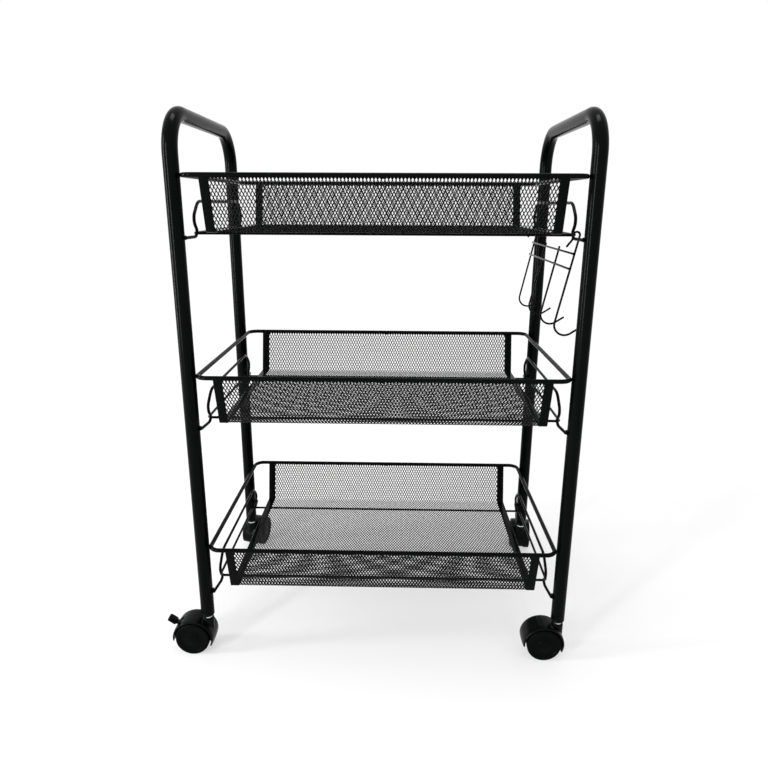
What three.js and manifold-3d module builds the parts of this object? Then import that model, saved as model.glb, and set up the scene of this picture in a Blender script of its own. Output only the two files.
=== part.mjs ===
import * as THREE from 'three';
import { mergeVertices } from 'three/addons/utils/BufferGeometryUtils.js';
import Module from 'manifold-3d';

const wasm = await Module();
wasm.setup();

// Driving dimensions in mm. The origin is on the floor under the middle of the four legs;
// X runs to the right, Y to the back and Z up.

// Gaps shared by all pieces
const CLEARANCE = 0.3;
const LOCATING_GAP = 0.75;

// Two inverted-U side frames of bent tube
const LEG_SPAN_X = 425;
const LEG_SPAN_Y = 239;
const TUBE_DIAMETER = 16;
const TUBE_WALL = 1.2;
const HANDLE_TOP_Z = 626.5;
const HANDLE_BEND_RADIUS = 42;
const TUBE_END_Z = 50.6;

// Three trays, all alike
const LOWEST_RIM_Z = 141;
const TIER_PITCH = 208;
const RIM_WIRE_DIAMETER = 5;
const RIM_OVERHANG = 11.4;
const RIM_CORNER_RADIUS = 12;
const TROUGH_DEPTH = 54.8;
const TROUGH_END_INSET = 30;
const TROUGH_WALL_RUN = 13.4;
const SHEET_THICKNESS = 1.2;
const EDGE_STRIP_WIDTH = 9.7;
const NET_BORDER = 4;
const NET_STRAND = 3.4;
const FLOOR_NET_COLUMNS = 7;
const FLOOR_NET_ROWS = 5;
const WALL_NET_COLUMNS = 12;
const WALL_NET_ROWS = 1;
const BASE_WIRE_DIAMETER = 3.1;
const BASE_WIRE_INSET = 28.1;
const BASE_CORNER_RADIUS = 4;

// Hat-shaped rungs welded between the legs of each side frame
const RUNG_WIRE_DIAMETER = 3.4;
const RUNG_RISE = 36.3;
const RUNG_SHOULDER_RISE = 18;
const RUNG_FOOT_INSET = 32.5;
const RUNG_SHOULDER_INSET = 12.5;
const RUNG_BAR_INSET = 33.5;
const RUNG_FOOT_BEND = 5;
const RUNG_SHOULDER_BEND = 9;
const RUNG_BAR_BEND = 22;
const RUNG_END_PAST_LEG = 3.6;

// Hook rack hung on the feet of the top right rung
const RACK_WIRE_DIAMETER = 2.3;
const RACK_STEM_INSET = 17;
const RACK_STEM_COUNT = 4;
const RACK_HANGER_GAP = 0.4;
const RACK_HANGER_END_DROP = 17;
const RACK_HANGER_END_FLARE = 4.6;
const RACK_INNER_STEM_TOP = -10.7;
const RACK_BAR_DROPS = [-15, -30.9];
const RACK_BAR_OVERHANG = 2;
const RACK_BAR_WELD = 0.3;
const HOOK_BEND_RADIUS = 11.6;
const HOOK_BEND_DROP = 89.2;
const HOOK_TURN = THREE.MathUtils.degToRad(135);
const HOOK_TIP_LENGTH = 12;
const RACK_LEAN = THREE.MathUtils.degToRad(11.8);

// Hooded twin-wheel casters
const WHEEL_RADIUS = 20.4;
const WHEEL_INNER_FACE = 6;
const WHEEL_OUTER_FACE = 15;
const WHEEL_EDGE_ROUND = 1.3;
const CASTER_TRAIL = 17;
const HOOD_RADIUS = 24;
const HOOD_EDGE_RADIUS = 23.3;
const HOOD_EDGE_ROUND = 0.7;
const HOOD_STRETCH = 1.04;
const HOOD_HALF_WIDTH = 14;
const HOOD_WEB_HALF = 5.3;
const WHEEL_CAVITY_GAP = 1.4;
const HOOD_STEM_LIP_Z = 11;
const HOOD_TRAIL_LIP_Z = 18;
const AXLE_DIAMETER = 5;
const AXLE_HALF_LENGTH = 12.5;
const BOSS_RADIUS = 7;
const BOSS_BOTTOM_Z = 24;
const BOSS_TOP_Z = 43.3;
const STEM_DIAMETER = 7;
const STEM_BOTTOM_Z = 27;
const STEM_IN_PLUG = 18;
const COLLAR_DIAMETER = 11;
const COLLAR_HEIGHT = 2.5;
const PLUG_CHAMFER = 1.6;
const PLUG_INSERT = 18;

// Brake lever on two of the casters, placed from the axle
const LEVER_PIVOT_X = 14;
const LEVER_PIVOT_Z = 14;
const LEVER_PIN_RADIUS = 1.8;
const LEVER_PIN_HALF = 4.8;
const LEVER_NECK_HALF = 3.2;
const LEVER_NECK_THICKNESS = 3.2;
const LEVER_SLOT_BACK = 3.4;
const LEVER_SLOT_BELOW = 4.6;
const LEVER_SLOT_ABOVE = 6.4;
const PADDLE_START_X = 22.8;
const PADDLE_START_Z = 16.2;
const PADDLE_LENGTH = 9;
const PADDLE_HALF_WIDTH = 4.6;
const PADDLE_THICKNESS = 3.2;
const PADDLE_RISE = THREE.MathUtils.degToRad(35);

// Direction in which each caster trails, turned about Z from +X, and whether it has a brake lever
const CASTERS = [
  { name: 'front_left', sideX: -1, sideY: -1, trailTurn: 180, braked: true },
  { name: 'front_right', sideX: 1, sideY: -1, trailTurn: 180, braked: false },
  { name: 'back_left', sideX: -1, sideY: 1, trailTurn: 76, braked: false },
  { name: 'back_right', sideX: 1, sideY: 1, trailTurn: 83, braked: true },
];

// Facets round each kind of rod and turned piece
const TUBE_SIDES = 12;
const RIM_SIDES = 8;
const WIRE_SIDES = 6;
const TURNED_SIDES = 18;
const HOOD_SIDES = 20;
const PIN_SIDES = 12;

// Colours seen in the photograph
const PAINT_BLACK = { color: 0x1b1e1d, roughness: 0.32, metalness: 0.35 };
const NET_BLACK = { color: 0x202322, roughness: 0.42, metalness: 0.35 };
const CASTER_BLACK = { color: 0x171818, roughness: 0.5, metalness: 0.0 };
const WHEEL_BLACK = { color: 0x1c1d1d, roughness: 0.55, metalness: 0.0 };
const BRIGHT_ZINC = { color: 0xc8cacb, roughness: 0.28, metalness: 0.9 };

// Values that follow from the ones above
const TUBE_RADIUS = TUBE_DIAMETER / 2;
const TUBE_BORE_RADIUS = TUBE_RADIUS - TUBE_WALL;
const LEG_X = LEG_SPAN_X / 2;
const LEG_Y = LEG_SPAN_Y / 2;
const HANDLE_AXIS_Z = HANDLE_TOP_Z - TUBE_RADIUS;
const RIM_RADIUS = RIM_WIRE_DIAMETER / 2;
const RIM_X = LEG_X - TUBE_RADIUS - CLEARANCE - RIM_RADIUS;
const RIM_Y = LEG_Y + RIM_OVERHANG;
const TROUGH_LENGTH = LEG_SPAN_X - 2 * TROUGH_END_INSET;
const TROUGH_FLOOR_WIDTH = 2 * (RIM_Y - SHEET_THICKNESS / 2 - TROUGH_WALL_RUN);
const BASE_RADIUS = BASE_WIRE_DIAMETER / 2;
const BASE_X = LEG_X - TUBE_RADIUS - CLEARANCE - BASE_RADIUS;
const BASE_Y = LEG_Y - BASE_WIRE_INSET;
const BASE_DROP = TROUGH_DEPTH + SHEET_THICKNESS + CLEARANCE + BASE_RADIUS;
const RUNG_RADIUS = RUNG_WIRE_DIAMETER / 2;
const RUNG_X = BASE_X - BASE_RADIUS - LOCATING_GAP - RUNG_RADIUS;
const RUNG_END_X = LEG_X - TUBE_RADIUS - CLEARANCE - RUNG_RADIUS;
const RUNG_FOOT_DROP = BASE_DROP + BASE_RADIUS + CLEARANCE + RUNG_RADIUS;
const RUNG_FOOT_INNER_Y = LEG_Y - RUNG_FOOT_INSET;
const RUNG_SHOULDER_Y = LEG_Y - RUNG_SHOULDER_INSET;
const RUNG_BAR_Y = LEG_Y - RUNG_BAR_INSET;
const RUNG_END_Y = LEG_Y + RUNG_END_PAST_LEG;
const RACK_RADIUS = RACK_WIRE_DIAMETER / 2;
const RACK_STEM_SPAN = 2 * (LEG_Y - RACK_STEM_INSET);
const RACK_HANG_SHARE = (RACK_STEM_SPAN / 2 - RUNG_FOOT_INNER_Y) / (RUNG_END_Y - RUNG_FOOT_INNER_Y);
const RACK_HANG_X = RUNG_X + (RUNG_END_X - RUNG_X) * RACK_HANG_SHARE;
const HANGER_RADIUS = RUNG_RADIUS + RACK_HANGER_GAP + RACK_RADIUS;
const STEM_RADIUS = STEM_DIAMETER / 2;
const COLLAR_RADIUS = COLLAR_DIAMETER / 2;
const COLLAR_BOTTOM_Z = BOSS_TOP_Z + CLEARANCE;
const COLLAR_TOP_Z = COLLAR_BOTTOM_Z + COLLAR_HEIGHT;
const PLUG_BOTTOM_Z = COLLAR_TOP_Z + CLEARANCE;
const STEM_TOP_Z = PLUG_BOTTOM_Z + STEM_IN_PLUG;
const AXLE_RADIUS = AXLE_DIAMETER / 2;
const AXLE_Z = WHEEL_RADIUS;
const TIERS = [
  { name: 'bottom', rimZ: LOWEST_RIM_Z },
  { name: 'middle', rimZ: LOWEST_RIM_Z + TIER_PITCH },
  { name: 'top', rimZ: LOWEST_RIM_Z + 2 * TIER_PITCH },
];

// Centre line of a bent rod: straight runs joined by arcs, with stations at the arc steps.
// Each corner is { at, radius, steps }; an open line starts and ends on corners without a radius.
class BentLine extends THREE.Curve {
  constructor(corners, closed = false) {
    super();
    this.stations = [];
    this.tangents = [];
    const count = corners.length;
    corners.forEach((corner, index) => {
      const before = corners[(index + count - 1) % count].at;
      const after = corners[(index + 1) % count].at;
      const arriving = corner.at.clone().sub(before).normalize();
      const leaving = after.clone().sub(corner.at).normalize();
      if (!closed && index === 0) {
        this.addStation(corner.at.clone(), leaving);
      } else if (!closed && index === count - 1) {
        this.addStation(corner.at.clone(), arriving);
      } else {
        this.addArc(corner, arriving, leaving);
      }
    });
    if (closed) {
      this.addStation(this.stations[0].clone(), this.tangents[0].clone());
    }
    this.steps = this.stations.length - 1;
  }

  addStation(point, tangent) {
    const last = this.stations[this.stations.length - 1];
    if (!last || last.distanceTo(point) > 1e-6) {
      this.stations.push(point);
      this.tangents.push(tangent);
    }
  }

  addArc(corner, arriving, leaving) {
    const turn = arriving.angleTo(leaving);
    const setback = corner.radius * Math.tan(turn / 2);
    const inward = leaving.clone().addScaledVector(arriving, -leaving.dot(arriving)).normalize();
    const start = corner.at.clone().addScaledVector(arriving, -setback);
    const centre = start.clone().addScaledVector(inward, corner.radius);
    for (let step = 0; step <= corner.steps; step += 1) {
      const angle = turn * step / corner.steps;
      const point = centre.clone();
      point.addScaledVector(inward, -corner.radius * Math.cos(angle));
      point.addScaledVector(arriving, corner.radius * Math.sin(angle));
      const tangent = arriving.clone().multiplyScalar(Math.cos(angle));
      tangent.addScaledVector(inward, Math.sin(angle));
      this.addStation(point, tangent);
    }
  }

  getUtoTmapping(u) {
    return u;
  }

  getPoint(t) {
    return this.stations[Math.round(t * this.steps)].clone();
  }

  getTangent(t) {
    return this.tangents[Math.round(t * this.steps)].clone();
  }
}

function corner(x, y, z, radius = 0, steps = 1) {
  return { at: new THREE.Vector3(x, y, z), radius, steps };
}

function roundOutline(radius, sides) {
  const points = [];
  for (let index = 0; index < sides; index += 1) {
    const angle = 2 * Math.PI * (index + 0.5) / sides;
    points.push(new THREE.Vector2(radius * Math.cos(angle), radius * Math.sin(angle)));
  }
  return points;
}

// Turns the faces of a closed geometry outward and joins its vertices.
function closedGeometry(geometry) {
  const bare = geometry.clone();
  bare.deleteAttribute('normal');
  bare.deleteAttribute('uv');
  const joined = mergeVertices(bare, 1e-4);
  const position = joined.attributes.position;
  const order = Array.from(joined.index.array);
  const kept = [];
  let volume = 0;
  const a = new THREE.Vector3();
  const b = new THREE.Vector3();
  const c = new THREE.Vector3();
  for (let index = 0; index < order.length; index += 3) {
    const [i, j, k] = order.slice(index, index + 3);
    if (i !== j && j !== k && k !== i) {
      a.fromBufferAttribute(position, i);
      b.fromBufferAttribute(position, j);
      c.fromBufferAttribute(position, k);
      volume += a.dot(b.cross(c));
      kept.push(i, j, k);
    }
  }
  if (volume < 0) {
    for (let index = 0; index < kept.length; index += 3) {
      const swapped = kept[index + 1];
      kept[index + 1] = kept[index + 2];
      kept[index + 2] = swapped;
    }
  }
  joined.setIndex(kept);
  return joined;
}

function solidOf(geometry) {
  const closed = closedGeometry(geometry);
  return new wasm.Manifold(new wasm.Mesh({
    numProp: 3,
    vertProperties: Float32Array.from(closed.attributes.position.array),
    triVerts: Uint32Array.from(closed.index.array),
  }));
}

function geometryOf(solid) {
  const mesh = solid.getMesh();
  const geometry = new THREE.BufferGeometry();
  geometry.setAttribute('position', new THREE.BufferAttribute(Float32Array.from(mesh.vertProperties), 3));
  geometry.setIndex(Array.from(mesh.triVerts));
  return geometry;
}

function rodGeometry(line, radius, sides, boreRadius = 0) {
  const outline = new THREE.Shape(roundOutline(radius, sides));
  if (boreRadius > 0) {
    outline.holes.push(new THREE.Path(roundOutline(boreRadius, sides)));
  }
  return new THREE.ExtrudeGeometry(outline, {
    steps: line.steps,
    extrudePath: line,
    bevelEnabled: false,
  });
}

function ringGeometry(line, radius, sides) {
  return new THREE.TubeGeometry(line, line.steps, radius, sides, true);
}

// A round bar along Y between two values
function pinGeometry(radius, fromY, toY, sides) {
  const geometry = new THREE.CylinderGeometry(radius, radius, toY - fromY, sides);
  geometry.translate(0, (fromY + toY) / 2, 0);
  return geometry;
}

// A turned piece about Z, from [radius, z] pairs that start and end on the axis
function turnedGeometry(profile, sides) {
  const points = profile.map(([radius, z]) => new THREE.Vector2(radius, z));
  const geometry = new THREE.LatheGeometry(points, sides);
  geometry.rotateX(Math.PI / 2);
  return geometry;
}

// A flat outline of [x, z] pairs drawn in the XZ plane and given a thickness along Y
function plateGeometry(outline, fromY, toY) {
  const shape = new THREE.Shape(outline.map(([x, z]) => new THREE.Vector2(x, z)));
  const geometry = new THREE.ExtrudeGeometry(shape, { depth: toY - fromY, bevelEnabled: false });
  geometry.rotateX(Math.PI / 2);
  geometry.translate(0, toY, 0);
  return geometry;
}

const cart = new THREE.Group();
cart.name = 'three_tier_tray_cart';

function addPiece(name, geometry, finish) {
  const mesh = new THREE.Mesh(closedGeometry(geometry), new THREE.MeshStandardMaterial(finish));
  mesh.name = name;
  mesh.geometry.computeVertexNormals();
  cart.add(mesh);
}

// Side frame: up one leg, over the handle and down the other leg
function sideFrame(x) {
  const line = new BentLine([
    corner(x, -LEG_Y, TUBE_END_Z),
    corner(x, -LEG_Y, HANDLE_AXIS_Z, HANDLE_BEND_RADIUS, 7),
    corner(x, LEG_Y, HANDLE_AXIS_Z, HANDLE_BEND_RADIUS, 7),
    corner(x, LEG_Y, TUBE_END_Z),
  ]);
  return rodGeometry(line, TUBE_RADIUS, TUBE_SIDES, TUBE_BORE_RADIUS);
}

// Rung: feet slanting in from the legs, shoulders bulging outward and a raised bar between them
function rung(side, rimZ) {
  const footZ = rimZ - RUNG_FOOT_DROP;
  const barZ = footZ + RUNG_RISE;
  const half = [
    corner(side * RUNG_END_X, -RUNG_END_Y, footZ),
    corner(side * RUNG_X, -RUNG_FOOT_INNER_Y, footZ, RUNG_FOOT_BEND, 4),
    corner(side * RUNG_X, -RUNG_SHOULDER_Y, footZ + RUNG_SHOULDER_RISE, RUNG_SHOULDER_BEND, 5),
    corner(side * RUNG_X, -RUNG_BAR_Y, barZ, RUNG_BAR_BEND, 4),
  ];
  const other = half.map(({ at, radius, steps }) => corner(at.x, -at.y, at.z, radius, steps)).reverse();
  return rodGeometry(new BentLine([...half, ...other]), RUNG_RADIUS, WIRE_SIDES);
}

// Level wire rectangle with rounded corners
function wireRectangle(halfX, halfY, z, bend, steps, radius, sides) {
  const line = new BentLine([
    corner(-halfX, -halfY, z, bend, steps),
    corner(halfX, -halfY, z, bend, steps),
    corner(halfX, halfY, z, bend, steps),
    corner(-halfX, halfY, z, bend, steps),
  ], true);
  return ringGeometry(line, radius, sides);
}

// Flat net in its own plane: a plate with staggered diamond gaps inside a whole border
function netGeometry(length, height, columns, rows) {
  const plate = new THREE.BoxGeometry(length, height, SHEET_THICKNESS);
  plate.translate(length / 2, height / 2, SHEET_THICKNESS / 2);
  const cellX = (length - 2 * NET_BORDER) / columns;
  const cellY = (height - 2 * NET_BORDER) / rows;
  const reach = cellX * cellY / 2 / Math.hypot(cellX, cellY);
  const share = 1 - NET_STRAND / 2 / reach;
  const halfX = cellX / 2 * share;
  const halfY = cellY / 2 * share;
  const diamond = new THREE.Shape([
    new THREE.Vector2(-halfX, 0),
    new THREE.Vector2(0, -halfY),
    new THREE.Vector2(halfX, 0),
    new THREE.Vector2(0, halfY),
  ]);
  const gaps = [];
  const gap = (x, y) => {
    const cut = new THREE.ExtrudeGeometry(diamond, { depth: 3 * SHEET_THICKNESS, bevelEnabled: false });
    cut.translate(NET_BORDER + x, NET_BORDER + y, -SHEET_THICKNESS);
    gaps.push(solidOf(cut));
  };
  for (let column = 0; column < columns; column += 1) {
    for (let row = 0; row < rows; row += 1) {
      gap((column + 0.5) * cellX, (row + 0.5) * cellY);
      if (column > 0 && row > 0) {
        gap(column * cellX, row * cellY);
      }
    }
  }
  return geometryOf(solidOf(plate).subtract(wasm.Manifold.union(gaps)));
}

// Tray: rim ring, two sloping net walls, net floor, folded edge strips and a wire base
function addTray(tier) {
  const { name, rimZ } = tier;
  const floorZ = rimZ - TROUGH_DEPTH;
  const underZ = floorZ - SHEET_THICKNESS;
  const floorY = TROUGH_FLOOR_WIDTH / 2;
  const wallTopZ = rimZ - RIM_RADIUS - CLEARANCE;
  const wallRun = RIM_Y - SHEET_THICKNESS / 2 - floorY;
  const wallRise = wallTopZ - floorZ;
  const slope = Math.atan2(wallRun, wallRise);
  const wallLength = Math.hypot(wallRun, wallRise);
  const stripInnerX = TROUGH_LENGTH / 2 - EDGE_STRIP_WIDTH;
  const netLength = 2 * (stripInnerX - CLEARANCE);

  const rim = wireRectangle(RIM_X, RIM_Y, rimZ, RIM_CORNER_RADIUS, 5, RIM_RADIUS, RIM_SIDES);
  addPiece(`${name}_tray_rim`, rim, PAINT_BLACK);

  const wallHeight = wallLength - SHEET_THICKNESS * Math.tan(slope);
  [['front', -1], ['back', 1]].forEach(([face, side]) => {
    const wall = netGeometry(netLength, wallHeight, WALL_NET_COLUMNS, WALL_NET_ROWS);
    const along = new THREE.Vector3(1, 0, 0);
    const upward = new THREE.Vector3(0, side * Math.sin(slope), Math.cos(slope));
    const outward = new THREE.Vector3(0, side * Math.cos(slope), -Math.sin(slope));
    const place = new THREE.Matrix4().makeBasis(along, upward, outward);
    place.setPosition(-netLength / 2, side * floorY, floorZ);
    wall.applyMatrix4(place);
    addPiece(`${name}_tray_${face}_net`, wall, NET_BLACK);
  });

  const floorWidth = TROUGH_FLOOR_WIDTH - 2 * CLEARANCE;
  const floor = netGeometry(netLength, floorWidth, FLOOR_NET_COLUMNS, FLOOR_NET_ROWS);
  floor.translate(-netLength / 2, -floorWidth / 2, underZ);
  addPiece(`${name}_tray_floor_net`, floor, NET_BLACK);

  // Folded strip outline in the YZ plane, with the wall's outer face carried down to the floor's
  const topInnerY = floorY + wallRise * Math.tan(slope);
  const wallWidth = SHEET_THICKNESS / Math.cos(slope);
  const lowOuterY = floorY + wallWidth - SHEET_THICKNESS * Math.tan(slope);
  const strip = [
    [-topInnerY - wallWidth, wallTopZ],
    [-lowOuterY, underZ],
    [lowOuterY, underZ],
    [topInnerY + wallWidth, wallTopZ],
    [topInnerY, wallTopZ],
    [floorY, floorZ],
    [-floorY, floorZ],
    [-topInnerY, wallTopZ],
  ];
  [['left', -TROUGH_LENGTH / 2], ['right', stripInnerX]].forEach(([end, fromX]) => {
    const folded = plateGeometry(strip, 0, EDGE_STRIP_WIDTH);
    folded.rotateZ(Math.PI / 2);
    folded.translate(fromX + EDGE_STRIP_WIDTH, 0, 0);
    addPiece(`${name}_tray_${end}_strip`, folded, PAINT_BLACK);
  });

  const baseZ = rimZ - BASE_DROP;
  const base = wireRectangle(BASE_X, BASE_Y, baseZ, BASE_CORNER_RADIUS, 3, BASE_RADIUS, WIRE_SIDES);
  addPiece(`${name}_tray_base_wire`, base, PAINT_BLACK);
}

// Hook rack about its hanging line: x outward and z up before it is let hang
function rackLines() {
  const lines = [];
  const hookSetback = HOOK_BEND_RADIUS * Math.tan(HOOK_TURN / 2);
  const hookCornerZ = -HOOK_BEND_DROP - hookSetback;
  const tipRun = hookSetback + HOOK_TIP_LENGTH;
  const tipX = HANGER_RADIUS + tipRun * Math.sin(HOOK_TURN);
  const tipZ = hookCornerZ - tipRun * Math.cos(HOOK_TURN);
  const stemGap = RACK_STEM_SPAN / (RACK_STEM_COUNT - 1);
  for (let index = 0; index < RACK_STEM_COUNT; index += 1) {
    const y = -RACK_STEM_SPAN / 2 + index * stemGap;
    const hook = [
      corner(HANGER_RADIUS, y, hookCornerZ, HOOK_BEND_RADIUS, 7),
      corner(tipX, y, tipZ),
    ];
    const isOuter = index === 0 || index === RACK_STEM_COUNT - 1;
    const top = isOuter ? [
      corner(-HANGER_RADIUS - RACK_HANGER_END_FLARE, y, -RACK_HANGER_END_DROP),
      corner(-HANGER_RADIUS, y, -RUNG_RADIUS, 3, 2),
      corner(-HANGER_RADIUS, y, HANGER_RADIUS, HANGER_RADIUS, 4),
      corner(HANGER_RADIUS, y, HANGER_RADIUS, HANGER_RADIUS, 4),
    ] : [corner(HANGER_RADIUS, y, RACK_INNER_STEM_TOP)];
    lines.push(new BentLine([...top, ...hook]));
  }
  const barX = HANGER_RADIUS - RACK_WIRE_DIAMETER + RACK_BAR_WELD;
  const barY = RACK_STEM_SPAN / 2 + RACK_BAR_OVERHANG;
  RACK_BAR_DROPS.forEach((z) => {
    lines.push(new BentLine([corner(barX, -barY, z), corner(barX, barY, z)]));
  });
  return lines;
}

// The rack hangs from the rung's feet with its hooks leaning in under the tray.
function hookRack(rimZ) {
  let rack = null;
  rackLines().forEach((line) => {
    const wire = solidOf(rodGeometry(line, RACK_RADIUS, WIRE_SIDES));
    rack = rack ? rack.add(wire) : wire;
  });
  const geometry = geometryOf(rack);
  geometry.rotateY(RACK_LEAN);
  geometry.translate(RACK_HANG_X, 0, rimZ - RUNG_FOOT_DROP);
  return geometry;
}

// Leg plug: a rounded head under the tube end, a shank inside the tube and a bore for the stem
function legPlug() {
  const shankRadius = TUBE_BORE_RADIUS - CLEARANCE;
  const boreRadius = STEM_RADIUS + CLEARANCE;
  const boreTopZ = STEM_TOP_Z + CLEARANCE;
  const headTopZ = TUBE_END_Z - CLEARANCE;
  const topZ = TUBE_END_Z + PLUG_INSERT;
  return turnedGeometry([
    [0, boreTopZ],
    [boreRadius, boreTopZ],
    [boreRadius, PLUG_BOTTOM_Z],
    [TUBE_RADIUS - PLUG_CHAMFER, PLUG_BOTTOM_Z],
    [TUBE_RADIUS, PLUG_BOTTOM_Z + PLUG_CHAMFER],
    [TUBE_RADIUS, headTopZ],
    [shankRadius, headTopZ],
    [shankRadius, topZ],
    [0, topZ],
  ], TUBE_SIDES);
}

// Caster stem with its bright collar
function casterStem() {
  return turnedGeometry([
    [0, STEM_BOTTOM_Z],
    [STEM_RADIUS, STEM_BOTTOM_Z],
    [STEM_RADIUS, COLLAR_BOTTOM_Z],
    [COLLAR_RADIUS, COLLAR_BOTTOM_Z],
    [COLLAR_RADIUS, COLLAR_TOP_Z],
    [STEM_RADIUS, COLLAR_TOP_Z],
    [STEM_RADIUS, STEM_TOP_Z],
    [0, STEM_TOP_Z],
  ], PIN_SIDES);
}

// Wheel outline from the axle out, as [radius, distance from the caster's middle plane]
const WHEEL_CROWN = [
  [WHEEL_RADIUS - WHEEL_EDGE_ROUND / 2, WHEEL_INNER_FACE],
  [WHEEL_RADIUS, WHEEL_INNER_FACE + WHEEL_EDGE_ROUND / 2],
  [WHEEL_RADIUS, WHEEL_OUTER_FACE - WHEEL_EDGE_ROUND],
  [WHEEL_RADIUS - 0.3 * WHEEL_EDGE_ROUND, WHEEL_OUTER_FACE - 0.3 * WHEEL_EDGE_ROUND],
  [WHEEL_RADIUS - WHEEL_EDGE_ROUND, WHEEL_OUTER_FACE],
];

// A turned solid about Y at the axle, from [radius, y] pairs that start and end on the axis
function axleTurned(profile, side, sides) {
  const points = profile.map(([radius, y]) => new THREE.Vector2(radius, side * y));
  return new THREE.LatheGeometry(points, sides);
}

function casterWheel(side) {
  const boreRadius = AXLE_RADIUS + CLEARANCE;
  const boreEnd = AXLE_HALF_LENGTH + CLEARANCE;
  return axleTurned([
    [0, boreEnd],
    [boreRadius, boreEnd],
    [boreRadius, WHEEL_INNER_FACE],
    ...WHEEL_CROWN,
    [0, WHEEL_OUTER_FACE],
  ], side, TURNED_SIDES);
}

// Hood: a barrel turned about the axle and drawn out a little along its length, cut off below
// the lips, hollowed round both wheels, with a boss over the stem
function casterHood(braked) {
  const swell = HOOD_RADIUS - HOOD_EDGE_RADIUS;
  const crown = [
    [HOOD_EDGE_RADIUS - HOOD_EDGE_ROUND, HOOD_HALF_WIDTH],
    [HOOD_EDGE_RADIUS, HOOD_HALF_WIDTH - HOOD_EDGE_ROUND],
    [HOOD_EDGE_RADIUS + swell * 0.75, HOOD_HALF_WIDTH * 0.6],
    [HOOD_RADIUS, HOOD_HALF_WIDTH * 0.25],
  ];
  const mirrored = crown.map(([radius, y]) => [radius, -y]).reverse();
  const outline = [[0, HOOD_HALF_WIDTH], ...crown, ...mirrored, [0, -HOOD_HALF_WIDTH]];
  const barrel = axleTurned(outline, 1, HOOD_SIDES);
  barrel.scale(HOOD_STRETCH, 1, 1);
  let hood = solidOf(barrel);
  const far = 2 * HOOD_RADIUS;
  const lipSlope = (HOOD_TRAIL_LIP_Z - HOOD_STEM_LIP_Z) / far;
  const lipMiddle = (HOOD_TRAIL_LIP_Z + HOOD_STEM_LIP_Z) / 2 - AXLE_Z;
  hood = hood.subtract(solidOf(plateGeometry([
    [-far, -far],
    [far, -far],
    [far, lipMiddle + lipSlope * far],
    [-far, lipMiddle - lipSlope * far],
  ], -far, far)));
  const boss = turnedGeometry([
    [0, BOSS_BOTTOM_Z],
    [BOSS_RADIUS, BOSS_BOTTOM_Z],
    [BOSS_RADIUS, BOSS_TOP_Z],
    [0, BOSS_TOP_Z],
  ], TURNED_SIDES);
  boss.translate(-CASTER_TRAIL, 0, -AXLE_Z);
  hood = hood.add(solidOf(boss));
  [-1, 1].forEach((side) => {
    const cavity = axleTurned([
      [0, HOOD_WEB_HALF],
      [WHEEL_RADIUS + WHEEL_CAVITY_GAP, HOOD_WEB_HALF],
      [WHEEL_RADIUS + WHEEL_CAVITY_GAP, 2 * HOOD_HALF_WIDTH],
      [0, 2 * HOOD_HALF_WIDTH],
    ], side, HOOD_SIDES);
    cavity.scale(HOOD_STRETCH, 1, 1);
    hood = hood.subtract(solidOf(cavity));
  });
  const stemBore = turnedGeometry([
    [0, STEM_BOTTOM_Z - CLEARANCE],
    [STEM_RADIUS + CLEARANCE, STEM_BOTTOM_Z - CLEARANCE],
    [STEM_RADIUS + CLEARANCE, BOSS_TOP_Z],
    [BOSS_RADIUS, BOSS_TOP_Z],
    [BOSS_RADIUS, 2 * BOSS_TOP_Z],
    [0, 2 * BOSS_TOP_Z],
  ], PIN_SIDES);
  stemBore.translate(-CASTER_TRAIL, 0, -AXLE_Z);
  hood = hood.subtract(solidOf(stemBore));
  const axleBore = pinGeometry(AXLE_RADIUS + CLEARANCE, -HOOD_HALF_WIDTH, HOOD_HALF_WIDTH, PIN_SIDES);
  hood = hood.subtract(solidOf(axleBore));
  if (braked) {
    const slotHalf = LEVER_NECK_HALF + CLEARANCE;
    const slot = plateGeometry([
      [LEVER_PIVOT_X - LEVER_SLOT_BACK, LEVER_PIVOT_Z - LEVER_SLOT_BELOW],
      [far, LEVER_PIVOT_Z - LEVER_SLOT_BELOW],
      [far, LEVER_PIVOT_Z + LEVER_SLOT_ABOVE],
      [LEVER_PIVOT_X - LEVER_SLOT_BACK, LEVER_PIVOT_Z + LEVER_SLOT_ABOVE],
    ], -slotHalf, slotHalf);
    const pinHalf = LEVER_PIN_HALF + CLEARANCE;
    const pinBore = pinGeometry(LEVER_PIN_RADIUS + CLEARANCE, -pinHalf, pinHalf, PIN_SIDES);
    pinBore.translate(LEVER_PIVOT_X, 0, LEVER_PIVOT_Z);
    hood = hood.subtract(solidOf(slot)).subtract(solidOf(pinBore));
  }
  return geometryOf(hood);
}

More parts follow.
